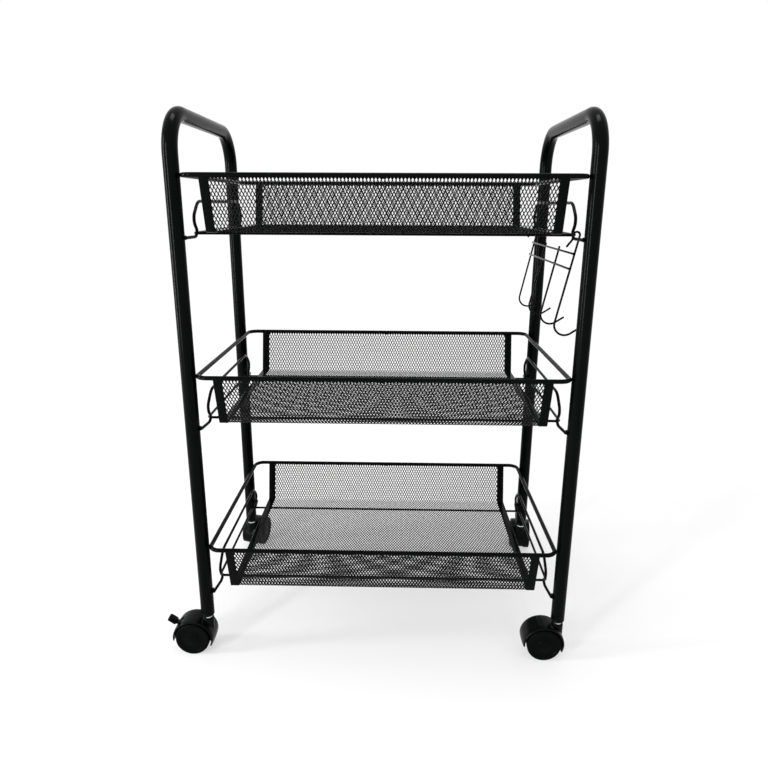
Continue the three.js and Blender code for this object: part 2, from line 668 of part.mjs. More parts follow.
// Brake lever: a cross pin, a neck through the hood's slot and a square paddle that rises outward
function brakeLever() {
  const pin = pinGeometry(LEVER_PIN_RADIUS, -LEVER_PIN_HALF, LEVER_PIN_HALF, PIN_SIDES);
  pin.translate(LEVER_PIVOT_X, 0, LEVER_PIVOT_Z);
  const paddleEndX = PADDLE_START_X + PADDLE_LENGTH * Math.cos(PADDLE_RISE);
  const paddleEndZ = PADDLE_START_Z + PADDLE_LENGTH * Math.sin(PADDLE_RISE);
  const underX = PADDLE_THICKNESS * Math.sin(PADDLE_RISE);
  const underZ = -PADDLE_THICKNESS * Math.cos(PADDLE_RISE);
  const neckHalf = LEVER_NECK_THICKNESS / 2;
  const neck = plateGeometry([
    [LEVER_PIVOT_X - neckHalf, LEVER_PIVOT_Z - neckHalf],
    [LEVER_PIVOT_X + neckHalf, LEVER_PIVOT_Z - neckHalf],
    [PADDLE_START_X + underX * 0.9, PADDLE_START_Z + underZ * 0.9],
    [PADDLE_START_X + underX, PADDLE_START_Z + underZ * 0.4],
    [PADDLE_START_X + underX * 0.1, PADDLE_START_Z + underZ * 0.1],
    [LEVER_PIVOT_X - neckHalf, LEVER_PIVOT_Z + neckHalf],
  ], -LEVER_NECK_HALF, LEVER_NECK_HALF);
  const paddle = plateGeometry([
    [PADDLE_START_X, PADDLE_START_Z],
    [PADDLE_START_X + underX, PADDLE_START_Z + underZ],
    [paddleEndX + underX, paddleEndZ + underZ],
    [paddleEndX, paddleEndZ],
  ], -PADDLE_HALF_WIDTH, PADDLE_HALF_WIDTH);
  return geometryOf(solidOf(neck).add(solidOf(paddle)).add(solidOf(pin)));
}

[['left', -1], ['right', 1]].forEach(([name, side]) => {
  addPiece(`${name}_side_frame`, sideFrame(side * LEG_X), PAINT_BLACK);
  TIERS.forEach((tier) => {
    addPiece(`${name}_${tier.name}_rung`, rung(side, tier.rimZ), PAINT_BLACK);
  });
});

TIERS.forEach(addTray);

addPiece('hook_rack', hookRack(TIERS[2].rimZ), PAINT_BLACK);

CASTERS.forEach(({ name, sideX, sideY, trailTurn, braked }) => {
  const legX = sideX * LEG_X;
  const legY = sideY * LEG_Y;
  const turn = THREE.MathUtils.degToRad(trailTurn);
  const atAxle = (geometry) => {
    geometry.translate(CASTER_TRAIL, 0, AXLE_Z);
    geometry.rotateZ(turn);
    geometry.translate(legX, legY, 0);
    return geometry;
  };
  const plug = legPlug();
  plug.translate(legX, legY, 0);
  addPiece(`${name}_leg_plug`, plug, CASTER_BLACK);
  const stem = casterStem();
  stem.translate(legX, legY, 0);
  addPiece(`${name}_caster_stem`, stem, BRIGHT_ZINC);
  addPiece(`${name}_caster_hood`, atAxle(casterHood(braked)), CASTER_BLACK);
  const axle = pinGeometry(AXLE_RADIUS, -AXLE_HALF_LENGTH, AXLE_HALF_LENGTH, PIN_SIDES);
  addPiece(`${name}_axle`, atAxle(axle), BRIGHT_ZINC);
  addPiece(`${name}_wheel_a`, atAxle(casterWheel(1)), WHEEL_BLACK);
  addPiece(`${name}_wheel_b`, atAxle(casterWheel(-1)), WHEEL_BLACK);
  if (braked) {
    addPiece(`${name}_brake_lever`, atAxle(brakeLever()), CASTER_BLACK);
  }
});

export default cart;
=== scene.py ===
"""Rolling cart with mesh trays: smooth tube frames, bent wire, expanded steel trays and hooded casters."""
import math

import bpy
import numpy as np
from bpy.props import FloatProperty, FloatVectorProperty, PointerProperty
from bpy.types import Operator, Panel, PropertyGroup
from mathutils import Matrix


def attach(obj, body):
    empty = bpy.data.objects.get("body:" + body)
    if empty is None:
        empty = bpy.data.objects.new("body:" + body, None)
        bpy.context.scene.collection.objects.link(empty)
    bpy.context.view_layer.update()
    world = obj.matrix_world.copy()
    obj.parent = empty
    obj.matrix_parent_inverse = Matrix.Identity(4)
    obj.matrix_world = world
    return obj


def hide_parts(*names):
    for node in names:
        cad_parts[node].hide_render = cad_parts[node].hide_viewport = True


bl_info = {
    "name": "Mesh tray cart",
    "version": (1, 0, 0),
    "blender": (4, 5, 0),
    "location": "View3D > Sidebar > Cart",
    "description": "Builds a rolling cart with loose mesh trays over its packed frame",
    "category": "Add Mesh",
}

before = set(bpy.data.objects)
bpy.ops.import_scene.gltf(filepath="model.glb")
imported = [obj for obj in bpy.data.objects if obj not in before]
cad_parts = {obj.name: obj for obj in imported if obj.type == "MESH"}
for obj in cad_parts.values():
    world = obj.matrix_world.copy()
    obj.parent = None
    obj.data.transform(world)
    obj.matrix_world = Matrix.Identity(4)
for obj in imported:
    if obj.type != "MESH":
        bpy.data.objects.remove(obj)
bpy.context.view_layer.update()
MM = 0.001

X_AXIS = np.array([1.0, 0.0, 0.0])
Y_AXIS = np.array([0.0, 1.0, 0.0])
Z_AXIS = np.array([0.0, 0.0, 1.0])

# Sizes and places in mm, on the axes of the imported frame, with the hood's angles in degrees
LEG_X, LEG_Y, LEG_END_Z = 212.5, 119.5, 50.6
TRAYS = {"bottom": 141.0, "middle": 349.0, "top": 557.0}
RIM_X, RIM_Y, RIM_BEND = 201.7, 130.9, 12.0
BASE_X, BASE_Y, BASE_DROP, BASE_BEND = 202.65, 91.4, 57.85, 4.0
WALL_TOP_Y, WALL_TOP_DROP = 131.6, 0.8
FLOOR_Y, FLOOR_DROP, FOLD_BEND = 117.5, 55.4, 3.5
SHEET_END_X, SHEET_HALF_THICK, SHEET_TWIST = 175.5, 0.3, 0.2
STRIP_X, STRIP_WIDTH, STRIP_THICK, STRIP_EDGE = 177.65, 9.7, 1.6, 0.6
TACK, TACK_DROP = (3.6, 1.5, 1.1), 2.4
RUNG_X, RUNG_END_X, RUNG_DROP = 198.65, 202.5, 61.4
RUNG_FOOT_Y, RUNG_SHOULDER_Y, RUNG_BAR_Y = 87.0, 107.0, 86.0
RUNG_SHOULDER_RISE, RUNG_RISE, RUNG_PAST_LEG = 18.0, 36.3, 3.6
RUNG_BENDS, WELD_BEAD, WELD_OFFSET, WELD_RIPPLE = (0, 5, 9, 22), (1.2, 4.2, 0.9), 1.5, 0.1
RACK_HANG_X, RACK_STEM_Y, RACK_LEAN = 200.303, 102.5, math.radians(11.8)
RACK_GAP, RACK_LOOP_RISE, RACK_END_DROP, RACK_FLARE, RACK_INNER_TOP = 0.4, 7.5, -10.0, 4.0, -10.7
RACK_BARS, RACK_BAR_PAST, RACK_WELD, RACK_BEAD = (-15.0, -30.9), 2.0, 0.3, (1.0, 1.5, 1.5)
RACK_STEMS, RACK_END_BEND = 4, 3.0
HOOK_BEND, HOOK_DROP, HOOK_TIP, HOOK_TURN = 11.6, -89.2, 12.0, math.radians(135)
AXLE_Z, TRAIL = 20.4, 17.0
HOOD_RADIUS, HOOD_SWELL, HOOD_HALF, HOOD_STRETCH = 24.0, 0.7, 14.0, 1.04
HOOD_INNER, HOOD_WEB_HALF, HOOD_SLOT_HALF, HOOD_RIM_START = 21.8, 5.3, 3.5, 0.93
HOOD_START, HOOD_END, SLOT_START, SLOT_END, SLOT_MARGIN = -5.7, 203.0, 23.0, 58.0, 3.0
WEB_SINK, WEB_EDGE = 0.4, 0.4
LEVER_X, LEVER_Z, PADDLE_X, PADDLE_Z = 14.0, 14.0, 21.0, 16.2
NECK_HALF_WIDTH, NECK_HALF_THICK, NECK_EDGE = 3.2, 1.6, 0.3
PADDLE_LENGTH, PADDLE_WIDTH, PADDLE_THICK, PADDLE_RISE = 11.4, 11.4, 3.2, math.radians(35)
PADDLE_CORNER, RIB_RADIUS, RIB_HALF, RIB_PITCH, RIB_SINK = 1.8, 0.45, 3.4, 2.2, 0.05

# Depth below a face of the paddle, in mm, and the share of its outline there
PADDLE_EDGE = ((0.0, 0.9), (0.3, 0.97), (0.8, 1.0))

# Where the neck meets the paddle's end, in shares of the paddle's thickness down that end
NECK_LOW, NECK_TOE, NECK_HIGH = 0.9, (1.0, 0.4), 0.1

# Casters: side along X, side along Y, turn of the trail from +X in degrees, and whether it is braked
CASTERS = {
    "front_left": (-1, -1, 180.0, True),
    "front_right": (1, -1, 180.0, False),
    "back_left": (-1, 1, 76.0, False),
    "back_right": (1, 1, 83.0, True),
}

# Fineness: sides round a section, steps round a bend and rings along a bead
TUBE_SIDES, TUBE_STEPS = 40, 28
RUNG_STEPS, BEAD_SIDES, BEAD_RINGS, BEAD_WAVES = (0, 10, 16, 12), 14, 17, 16
RIM_SIDES, WIRE_SIDES, CORNER_STEPS, FOLD_STEPS = 20, 16, 12, 10
TACK_SIDES, TACK_RINGS, RACK_BEAD_RINGS = 12, 9, 7
RACK_SIDES, END_STEPS, LOOP_STEPS, HOOK_STEPS = 14, 5, 10, 18
STEM_SIDES, WHEEL_SIDES, HOOD_PROFILE = 32, 56, 33
PIN_SIDES, RIB_SIDES, PADDLE_STEPS = 20, 10, 5

# Rings on the round end of a wire, and the angle in radians where it starts
WIRE_END_RINGS, WIRE_END_START = 5, 0.12

# Distance in mm below which two points of a path are one
SAME_POINT = 1e-6

# Angles in degrees past which an edge stays sharp
SHARP_EDGE, SHEET_SHARP_EDGE = 40.0, 25.0

# Finish: how far apart the drifts of colour, gloss, turning lines and cloudiness lie, in mm
COLOUR_DRIFT, GLOSS_DRIFT, TURNING_PITCH, ZINC_CLOUD = 38, 9, 2.2, 4

# Part of the noise that the drifts of colour and gloss use, and the gloss drift in shares of the roughness
SHADE_LOW, SHADE_HIGH, GLOSS_LOW, GLOSS_HIGH, GLOSSIEST, DULLEST = 0.3, 0.75, 0.25, 0.75, 0.82, 1.2

# Strength of a finish's relief and of the turning lines, the lines' depth in mm, and the roughness of zinc
PEEL_STRENGTH, TURNING_STRENGTH, TURNING_DEPTH, ZINC_SMOOTH, ZINC_DULL = 0.35, 0.2, 0.03, 0.16, 0.34

# Stage, in metres and watts: each lamp has its place, the point that it faces, its width, height and power
FLOOR_HALF = 8
LAMPS = {
    "window": ((-1.40, -1.70, 0.75), (-0.21, -0.12, 0.4), 0.20, 1.5, 32),
    "side": ((-2.10, -0.40, 0.75), (0, -0.12, 0.4), 0.24, 1.5, 32),
    "top": ((0.0, 0.1, 2.2), (0, 0, 0.3), 0.9, 0.5, 13),
}
WORLD_LIGHT, WORLD_SEEN = 0.7, 1.0
GLOW_NEAR, GLOW_FAR, GLOW_LEAST, GLOW_MOST = 0.3, 3.2, 0.53, 0.69

# Camera: sensor in mm, focal length and picture width in pixels, nearest distance and place in metres
SENSOR_WIDTH, FOCAL_LENGTH, PICTURE_WIDTH, NEAREST = 36, 633.42, 768, 0.05
CAMERA_PLACE = (0.01517, -0.78328, 0.530)
CAMERA_RIGHT = (0.99975211, 0.02184256, 0.00431443)
CAMERA_DOWN = (0.01012102, -0.27325125, -0.96188945)
CAMERA_AHEAD = (-0.0198312, 0.96169468, -0.27340459)


def linear(hex_colour):
    """Linear RGBA of an sRGB hex colour: a channel is c/12.92 below 0.04045, else ((c+0.055)/1.055)^2.4."""
    c = np.array([int(hex_colour[i:i + 2], 16) for i in (1, 3, 5)]) / 255.0
    c = np.where(c <= 0.04045, c / 12.92, ((c + 0.055) / 1.055) ** 2.4)
    return (*c.tolist(), 1.0)


class CartSizes(PropertyGroup):
    tube: FloatProperty(name="Tube", description="Outside diameter of the side frame tube",
                        default=16 * MM, unit="LENGTH")
    handle_top: FloatProperty(name="Handle height", description="Height of the top of the handles",
                              default=626.5 * MM, unit="LENGTH")
    handle_bend: FloatProperty(name="Handle bend", description="Centre-line radius of the handle corners",
                               default=42 * MM, unit="LENGTH")
    rim_wire: FloatProperty(name="Rim wire", description="Diameter of the tray rim wire",
                            default=5 * MM, unit="LENGTH")
    base_wire: FloatProperty(name="Base wire", description="Diameter of the wire under a tray",
                             default=3.1 * MM, unit="LENGTH")
    rung_wire: FloatProperty(name="Rung wire", description="Diameter of the rung wire",
                             default=3.4 * MM, unit="LENGTH")
    rack_wire: FloatProperty(name="Rack wire", description="Diameter of the hook rack wire",
                             default=2.3 * MM, unit="LENGTH")
    mesh_width: FloatProperty(name="Mesh width", description="Short pitch of the mesh diamonds",
                              default=3.62 * MM, unit="LENGTH")
    mesh_length: FloatProperty(name="Mesh length", description="Long pitch of the mesh diamonds",
                               default=7.15 * MM, unit="LENGTH")
    mesh_strand: FloatProperty(name="Mesh strand", description="Width of a mesh strand",
                               default=0.92 * MM, unit="LENGTH")


class CartColours(PropertyGroup):
    coat: FloatVectorProperty(name="Coat", description="Black coat on tube and wire", subtype="COLOR",
                              size=4, default=linear("#050606"), min=0, max=1)
    mesh: FloatVectorProperty(name="Mesh", description="Black coat on the mesh sheet", subtype="COLOR",
                              size=4, default=linear("#070808"), min=0, max=1)
    moulding: FloatVectorProperty(name="Moulding", description="Black plastic of hoods and plugs",
                                  subtype="COLOR", size=4, default=linear("#050606"), min=0, max=1)
    wheel: FloatVectorProperty(name="Wheel", description="Black plastic of the wheels", subtype="COLOR",
                               size=4, default=linear("#060707"), min=0, max=1)
    zinc: FloatVectorProperty(name="Zinc", description="Bright zinc of stems and collars", subtype="COLOR",
                              size=4, default=linear("#c9ccce"), min=0, max=1)
    floor: FloatVectorProperty(name="Floor", description="Pale floor", subtype="COLOR", size=4,
                               default=linear("#b4b4b4"), min=0, max=1)


def sizes():
    return bpy.context.scene.cart_sizes


def colours():
    return bpy.context.scene.cart_colours


# Surfaces: a surface is an array of points and a list of face blocks, each with one face a row


def bent_path(corners, bends, steps, closed=False):
    """Straight runs joined by arcs. A corner is cut back by bend*tan(turn/2) and replaced by an arc about
    the point one bend radius inside it; returns points and unit tangents."""
    corners = np.asarray(corners, float)
    count = len(corners)
    points, tangents = [], []
    for i in range(count):
        at = corners[i]
        if not closed and i in (0, count - 1):
            run = corners[1] - at if i == 0 else at - corners[i - 1]
            points.append(at[None])
            tangents.append((run / np.linalg.norm(run))[None])
            continue
        arrive = at - corners[i - 1]
        leave = corners[(i + 1) % count] - at
        arrive, leave = arrive / np.linalg.norm(arrive), leave / np.linalg.norm(leave)
        turn = math.acos(np.clip(arrive @ leave, -1, 1))
        inward = leave - (leave @ arrive) * arrive
        inward /= np.linalg.norm(inward)
        centre = at - arrive * bends[i] * math.tan(turn / 2) + inward * bends[i]
        angle = np.linspace(0, turn, steps[i] + 1)[:, None]
        points.append(centre - bends[i] * np.cos(angle) * inward + bends[i] * np.sin(angle) * arrive)
        tangents.append(np.cos(angle) * arrive + np.sin(angle) * inward)
    points, tangents = np.concatenate(points), np.concatenate(tangents)
    keep = np.ones(len(points), bool)
    keep[1:] = np.linalg.norm(np.diff(points, axis=0), axis=1) > SAME_POINT
    return points[keep], tangents[keep]


def circle(radius, sides):
    """Round section: radius*(cos, sin) at equal angles."""
    angle = np.arange(sides) * 2 * math.pi / sides
    return radius * np.stack([np.cos(angle), np.sin(angle)], 1)


def rounded_bar(width, height, bend, steps=4):
    """Rectangle section with quarter-circle corners of the given bend."""
    quarter = np.linspace(0, math.pi / 2, steps + 1)
    turn = (np.arange(4)[:, None] * math.pi / 2 + quarter).ravel()
    centre = np.repeat([[1, 1], [-1, 1], [-1, -1], [1, -1]], steps + 1, axis=0)
    return centre * [width / 2 - bend, height / 2 - bend] + bend * np.stack([np.cos(turn), np.sin(turn)], 1)


def grid_faces(rings, sides, wrap_rings=False):
    """Quads of a ring-by-side grid whose sides always wrap round."""
    i = np.arange(rings if wrap_rings else rings - 1)[:, None]
    j = np.arange(sides)[None, :]
    k, i2, j2 = i * sides, (i + 1) % rings * sides, (j + 1) % sides
    return np.stack(np.broadcast_arrays(k + j, k + j2, i2 + j2, i2 + j), -1).reshape(-1, 4)


def capped(rings, sides):
    """Faces of an open stack of rings with a flat cap on its first and its last ring."""
    ends = np.stack([np.arange(sides)[::-1], np.arange(sides) + (rings - 1) * sides])
    return [grid_faces(rings, sides), ends]


def outward(surface):
    """Turns the faces of a closed surface so that its volume, the sum of a.(b x c)/6, is positive."""
    points, faces = surface
    volume = sum((points[f[:, 0]] * np.cross(points[f[:, k]], points[f[:, k + 1]])).sum()
                 for f in faces for k in range(1, f.shape[1] - 1))
    return points, [f[:, ::-1] for f in faces] if volume < 0 else faces


def joined(parts):
    """Several closed surfaces in one array of points and one list of face blocks."""
    points, faces, first = [], [], 0
    for p, f in map(outward, parts):
        points.append(p)
        faces += [block + first for block in f]
        first += len(p)
    return np.concatenate(points), faces


def moved(surface, offset):
    """A surface shifted by an offset."""
    return surface[0] + np.asarray(offset, float), surface[1]


def swept(points, tangents, section, side, closed=False, scale=None):
    """A flat section carried along a path: point + scale*(a*u + b*v), with u the given side direction made
    square to the path and v = tangent x u. Open ends get flat caps."""
    u = side - (tangents @ side)[:, None] * tangents
    u /= np.linalg.norm(u, axis=1)[:, None]
    v = np.cross(tangents, u)
    a, b = section[None, :, :1], section[None, :, 1:]
    grow = np.ones(len(points)) if scale is None else scale
    rings = points[:, None] + grow[:, None, None] * (a * u[:, None] + b * v[:, None])
    sides = len(section)
    faces = [grid_faces(len(points), sides, True)] if closed else capped(len(points), sides)
    return rings.reshape(-1, 3), faces


def wire(corners, bends, steps, radius, side, sides, closed=False):
    """A round wire along a bent path; its open ends close over a quarter circle."""
    points, tangents = bent_path(corners, bends, steps, closed)
    scale = None
    if not closed:
        phase = np.linspace(WIRE_END_START, math.pi / 2, WIRE_END_RINGS + 1)[:-1]
        inset = radius * (1 - np.cos(phase))[:, None]
        start = points[0] + tangents[0] * inset
        end = points[-1] - tangents[-1] * inset[::-1]
        scale = np.concatenate([np.sin(phase), np.ones(len(points)), np.sin(phase)[::-1]])
        inner = points.copy()
        inner[0] = points[0] + tangents[0] * radius
        inner[-1] = points[-1] - tangents[-1] * radius
        points = np.concatenate([start, inner, end])
        tangents = np.concatenate([np.repeat(tangents[:1], WIRE_END_RINGS, 0), tangents,
                                   np.repeat(tangents[-1:], WIRE_END_RINGS, 0)])
    return swept(points, tangents, circle(radius, sides), side, closed, scale)


def turned(profile, sides, axis="z"):
    """A profile of (radius, height) pairs turned about an axis; the first and last points lie on it."""
    profile = np.asarray(profile, float)
    angle = np.arange(sides) * 2 * math.pi / sides
    r, h = profile[1:-1, :1], profile[1:-1, 1:]
    a, b, c = r * np.cos(angle), r * np.sin(angle), h + 0 * angle
    rings = np.stack((a, b, c) if axis == "z" else (b, c, a), -1).reshape(-1, 3)
    poles = np.array([[0, 0, profile[0, 1]], [0, 0, profile[-1, 1]]])
    if axis == "y":
        poles = poles[:, [0, 2, 1]]
    count = len(profile) - 2
    low, top = count * sides, (count - 1) * sides
    j, j2 = np.arange(sides), (np.arange(sides) + 1) % sides
    start = np.stack([np.full(sides, low), j2, j], 1)
    end = np.stack([np.full(sides, low + 1), top + j, top + j2], 1)
    return np.concatenate([rings, poles]), [grid_faces(count, sides), start, end]


def ellipsoid(centre, radii, sides, rings, ripple=0.0, waves=0):
    """An ellipsoid whose radius is rippled by cos(waves*latitude)."""
    phase = np.linspace(0, math.pi, rings + 2)
    swell = 1 + ripple * np.cos(waves * phase)
    points, faces = turned(np.stack([np.sin(phase) * swell, -np.cos(phase)], 1), sides, "y")
    return points * np.array(radii) + np.array(centre), faces


def make_piece(name, surface, material, body, nodes=(), sharp=SHARP_EDGE):
    """Puts a surface in mm into a mesh object at the origin, smooth except over sharp edges."""
    points, faces = outward(surface)
    mesh = bpy.data.meshes.new(name)
    mesh.from_pydata((points * MM).tolist(), [], [row for block in faces for row in block.tolist()])
    mesh.validate()
    mesh.shade_smooth()
    mesh.set_sharp_from_angle(angle=math.radians(sharp))
    mesh.materials.append(material)
    piece = bpy.data.objects.new(name, mesh)
    bpy.context.scene.collection.objects.link(piece)
    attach(piece, body)
    if nodes:
        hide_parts(*nodes)


# Materials


def add_node(tree, kind, settings=None, **inputs):
    """Adds a node, sets its properties and its inputs, and links the inputs given as sockets."""
    node = tree.nodes.new(kind)
    for key, value in (settings or {}).items():
        setattr(node, key, value)
    for key, value in inputs.items():
        socket = node.inputs[int(key[1:]) if key[0] == "i" and key[1:].isdigit() else key.replace("_", " ")]
        if isinstance(value, bpy.types.NodeSocket):
            tree.links.new(value, socket)
        else:
            socket.default_value = value
    return node


def new_material(name):
    """A named material with an empty node tree and the Object coordinates in it, or, where it has been made
    before, the material alone."""
    material = bpy.data.materials.get(name)
    if material:
        return material, None, None
    material = bpy.data.materials.new(name)
    material.use_nodes = True
    tree = material.node_tree
    tree.nodes.clear()
    place = add_node(tree, "ShaderNodeTexCoord").outputs["Object"]
    return material, tree, place


def black_finish(name, colour, roughness, peel_mm, peel_depth, mottle, specular):
    """Dark finish whose colour and gloss drift slowly and whose surface has a fine relief of a given size."""
    material, tree, place = new_material(name)
    if tree is None:
        return material
    drift = add_node(tree, "ShaderNodeTexNoise", None, Vector=place, Scale=1 / (COLOUR_DRIFT * MM),
                     Detail=3.0)
    shade = add_node(tree, "ShaderNodeValToRGB", None, Fac=drift.outputs["Fac"])
    dark = np.array(colour[:3])
    shade.color_ramp.elements[0].position = SHADE_LOW
    shade.color_ramp.elements[0].color = (*(dark * (1 - mottle)).tolist(), 1)
    shade.color_ramp.elements[1].position = SHADE_HIGH
    shade.color_ramp.elements[1].color = (*(dark * (1 + mottle)).tolist(), 1)
    gloss = add_node(tree, "ShaderNodeTexNoise", None, Vector=place, Scale=1 / (GLOSS_DRIFT * MM),
                     Detail=4.0)
    rough = add_node(tree, "ShaderNodeMapRange", None, Value=gloss.outputs["Fac"], From_Min=GLOSS_LOW,
                     From_Max=GLOSS_HIGH, To_Min=roughness * GLOSSIEST, To_Max=roughness * DULLEST)
    peel = add_node(tree, "ShaderNodeTexNoise", None, Vector=place, Scale=1 / (peel_mm * MM), Detail=2.0)
    bump = add_node(tree, "ShaderNodeBump", None, Height=peel.outputs["Fac"], Strength=PEEL_STRENGTH,
                    Distance=peel_depth * MM)
    shader = add_node(tree, "ShaderNodeBsdfPrincipled", None, Base_Color=shade.outputs["Color"],
                      Roughness=rough.outputs["Result"], Normal=bump.outputs["Normal"],
                      Specular_IOR_Level=specular)
    add_node(tree, "ShaderNodeOutputMaterial", None, Surface=shader.outputs["BSDF"])
    return material


def coat_paint():
    # Powder coat on drawn steel tube and wire: sprayed and baked, a smooth deep black with faint orange peel
    return black_finish("PowderCoatBlackGloss", colours().coat, roughness=0.16, peel_mm=2.4, peel_depth=0.02,
                        mottle=0.18, specular=0.04)


def mesh_paint():
    # Powder coat on expanded steel sheet: the same spray on slit and stretched edges, a little duller
    return black_finish("PowderCoatExpandedSteel", colours().mesh, roughness=0.36, peel_mm=1.6,
                        peel_depth=0.03, mottle=0.2, specular=0.06)


def hood_plastic():
    # Moulded polypropylene: satin black with a fine spark-eroded grain
    return black_finish("PolypropyleneBlackMoulded", colours().moulding, roughness=0.26, peel_mm=0.9,
                        peel_depth=0.03, mottle=0.12, specular=0.06)


def wheel_plastic():
    # Moulded nylon: harder and slightly greyer black than the hood, lightly scuffed by rolling
    return black_finish("NylonWheelBlack", colours().wheel, roughness=0.32, peel_mm=1.2, peel_depth=0.04,
                        mottle=0.22, specular=0.03)


def zinc_plate():
    # Bright zinc plate on turned steel: mirror-like with faint turning lines round the stem
    material, tree, place = new_material("ZincPlatedSteelBright")
    if tree is None:
        return material
    lines = add_node(tree, "ShaderNodeTexWave", {"bands_direction": "Z"}, Vector=place,
                     Scale=1 / (TURNING_PITCH * MM), Distortion=0.6)
    bump = add_node(tree, "ShaderNodeBump", None, Height=lines.outputs["Fac"], Strength=TURNING_STRENGTH,
                    Distance=TURNING_DEPTH * MM)
    cloud = add_node(tree, "ShaderNodeTexNoise", None, Vector=place, Scale=1 / (ZINC_CLOUD * MM), Detail=3.0)
    rough = add_node(tree, "ShaderNodeMapRange", None, Value=cloud.outputs["Fac"], To_Min=ZINC_SMOOTH,
                     To_Max=ZINC_DULL)
    shader = add_node(tree, "ShaderNodeBsdfPrincipled", None, Base_Color=tuple(colours().zinc), Metallic=1.0,
                      Roughness=rough.outputs["Result"], Normal=bump.outputs["Normal"])
    add_node(tree, "ShaderNodeOutputMaterial", None, Surface=shader.outputs["BSDF"])
    return material


# Pieces


class CART_OT_side_frames(Operator):
    """Bent tube side frames: up one leg, round the handle and down the other leg"""
    bl_idname = "cart.side_frames"
    bl_label = "Side frames"

    def execute(self, context):
        radius = sizes().tube / 2 / MM
        axis_z = sizes().handle_top / MM - radius
        bend = sizes().handle_bend / MM
        for name, x in (("left", -LEG_X), ("right", LEG_X)):
            corners = [(x, -LEG_Y, LEG_END_Z), (x, -LEG_Y, axis_z), (x, LEG_Y, axis_z), (x, LEG_Y, LEG_END_Z)]
            points, tangents = bent_path(corners, [0, bend, bend, 0], [0, TUBE_STEPS, TUBE_STEPS, 0])
            tube = swept(points, tangents, circle(radius, TUBE_SIDES), X_AXIS)
            make_piece(f"{name}_tube_frame", tube, coat_paint(), "frame", [f"{name}_side_frame"])
        return {"FINISHED"}


class CART_OT_rungs(Operator):
    """Hat-shaped wire rungs between the legs, with weld beads where their ends meet the tube"""
    bl_idname = "cart.rungs"
    bl_label = "Rungs"

    def execute(self, context):
        radius = sizes().rung_wire / 2 / MM
        bends, steps = RUNG_BENDS + RUNG_BENDS[::-1], RUNG_STEPS + RUNG_STEPS[::-1]
        for side_name, side in (("left", -1), ("right", 1)):
            beads = []
            for tray, rim_z in TRAYS.items():
                foot = rim_z - RUNG_DROP
                half = np.array([
                    (side * RUNG_END_X, -LEG_Y - RUNG_PAST_LEG, foot), (side * RUNG_X, -RUNG_FOOT_Y, foot),
                    (side * RUNG_X, -RUNG_SHOULDER_Y, foot + RUNG_SHOULDER_RISE),
                    (side * RUNG_X, -RUNG_BAR_Y, foot + RUNG_RISE)])
                corners = np.concatenate([half, half[::-1] * [1, -1, 1]])
                rung = wire(corners, bends, steps, radius, X_AXIS, WIRE_SIDES)
                make_piece(f"{side_name}_{tray}_wire_rung", rung, coat_paint(), "frame",
                           [f"{side_name}_{tray}_rung"])
                for y in (-LEG_Y, LEG_Y):
                    for lift in (-1, 1):
                        place = (side * (RUNG_END_X + WELD_OFFSET), y, foot + lift * WELD_OFFSET)
                        beads.append(ellipsoid(place, WELD_BEAD, BEAD_SIDES, BEAD_RINGS, WELD_RIPPLE,
                                               BEAD_WAVES))
            make_piece(f"{side_name}_rung_welds", joined(beads), coat_paint(), "frame")
        return {"FINISHED"}


def fold_path(rim_z):
    """Middle line of the folded tray sheet in the YZ plane: down the front wall, along the floor and up the
    back wall, with rounded folds."""
    top, floor = rim_z - WALL_TOP_DROP, rim_z - FLOOR_DROP
    corners = [(0, -WALL_TOP_Y, top), (0, -FLOOR_Y, floor), (0, FLOOR_Y, floor), (0, WALL_TOP_Y, top)]
    return bent_path(corners, [0, FOLD_BEND, FOLD_BEND, 0], [0, FOLD_STEPS, FOLD_STEPS, 0])


def fold_reach(points):
    """Distance along the fold at each of its points: the running sum of the steps between them."""
    return np.concatenate([[0], np.cumsum(np.linalg.norm(np.diff(points, axis=0), axis=1))])


def along_fold(rim_z, x, s, h):
    """Maps (x, distance down the fold, height inside the sheet) to space: the fold's point at that distance
    plus h times its inward normal."""
    points, tangents = fold_path(rim_z)
    reach = fold_reach(points)
    inner = np.cross(X_AXIS, tangents)
    y, z = (np.interp(s, reach, points[:, k]) for k in (1, 2))
    ny, nz = (np.interp(s, reach, inner[:, k]) for k in (1, 2))
    return np.stack([x, y + h * ny, z + h * nz], -1)


def plate(upper, lower, quads, corners):
    """A closed plate from its upper faces: the same faces turned over below, and a wall along every edge
    that only one upper face uses. Points that no face uses are left out."""
    used, place = np.unique(np.concatenate([quads.ravel(), corners.ravel()]), return_inverse=True)
    quads, corners = place[:quads.size].reshape(-1, 4), place[quads.size:].reshape(-1, 3)
    count = len(used)
    edges = np.concatenate([np.stack([f, np.roll(f, -1, 1)], -1).reshape(-1, 2) for f in (quads, corners)])
    rim = edges[~np.isin(edges @ [count, 1], edges @ [1, count])]
    wall = np.stack([rim[:, 1], rim[:, 0], rim[:, 0] + count, rim[:, 1] + count], 1)
    faces = [quads, corners, quads[:, ::-1] + count, corners[:, ::-1] + count, wall]
    return np.concatenate([upper[used], lower[used]]), faces


